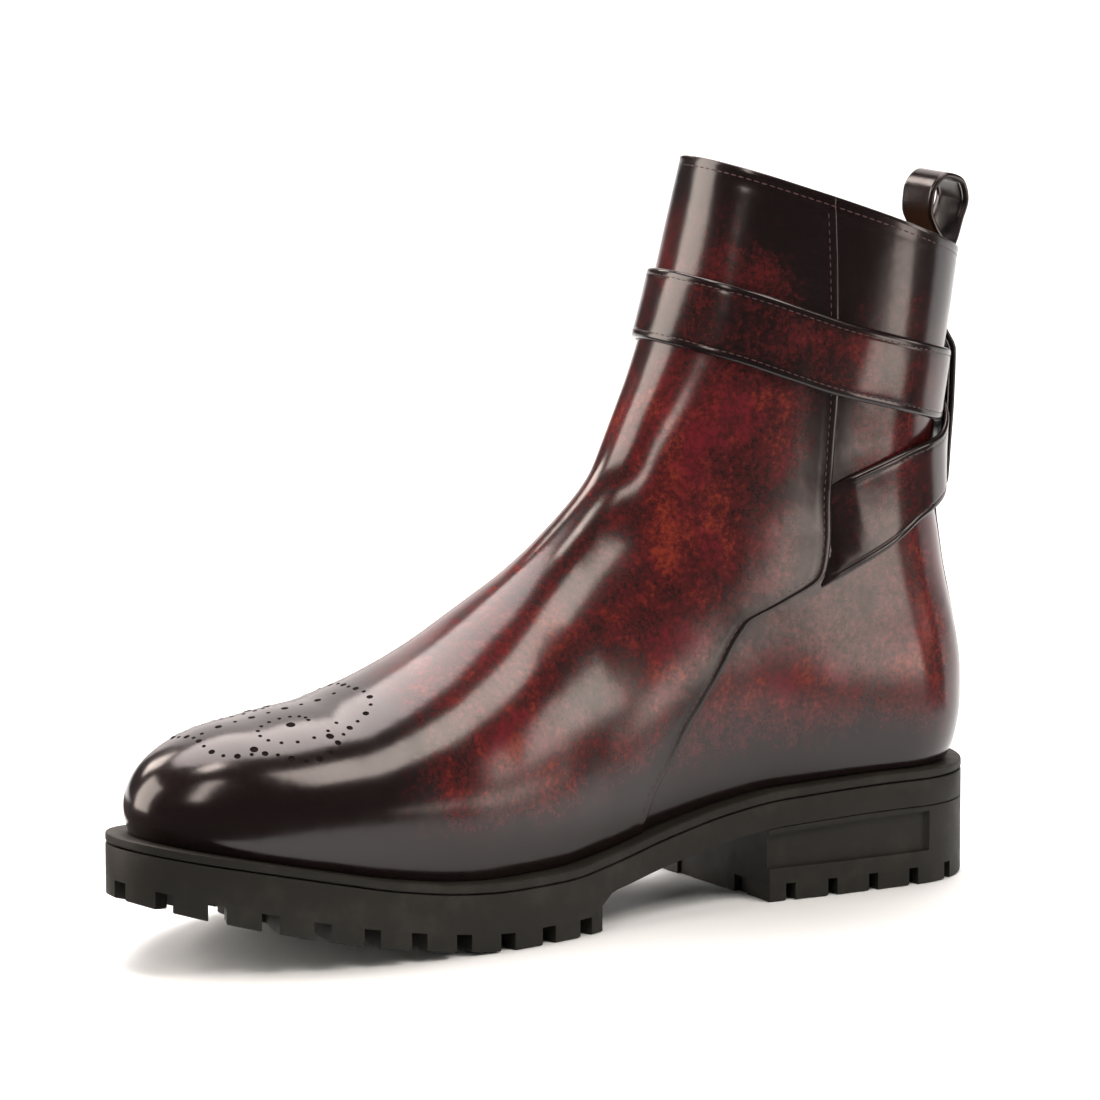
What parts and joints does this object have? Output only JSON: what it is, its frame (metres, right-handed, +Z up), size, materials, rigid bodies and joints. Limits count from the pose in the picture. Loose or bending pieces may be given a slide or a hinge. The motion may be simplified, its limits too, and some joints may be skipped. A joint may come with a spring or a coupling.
{
  "type": "jodhpur boot",
  "caption": "Right ankle boot in burnished oxblood leather, wrapped by crossed straps with a side buckle, on a lugged rubber sole with a block heel.",
  "frame": {"origin": "on the floor under the middle of the heel, in the heel's lower face", "axes": "-Y along the foot to the toe, +X to the inner (medial) side of the foot, +Z up"},
  "size_m": [0.1021, 0.3099, 0.2305],
  "materials": {
    "oxblood_leather": "burnished, glossy",
    "strap_leather": "burnished, glossy",
    "insole_leather": "matt",
    "sole_rubber": "matt",
    "pale_metal": "polished"
  },
  "bodies": {
    "root": {"upper": "oxblood_leather", "insole": "insole_leather", "midsole": "sole_rubber", "outsole": "sole_rubber", "heel": "sole_rubber", "long_strap": "strap_leather", "short_strap": "strap_leather", "back_strip": "strap_leather", "buckle_frame": "pale_metal", "buckle_prong": "pale_metal"}
  },
  "joints": []
}
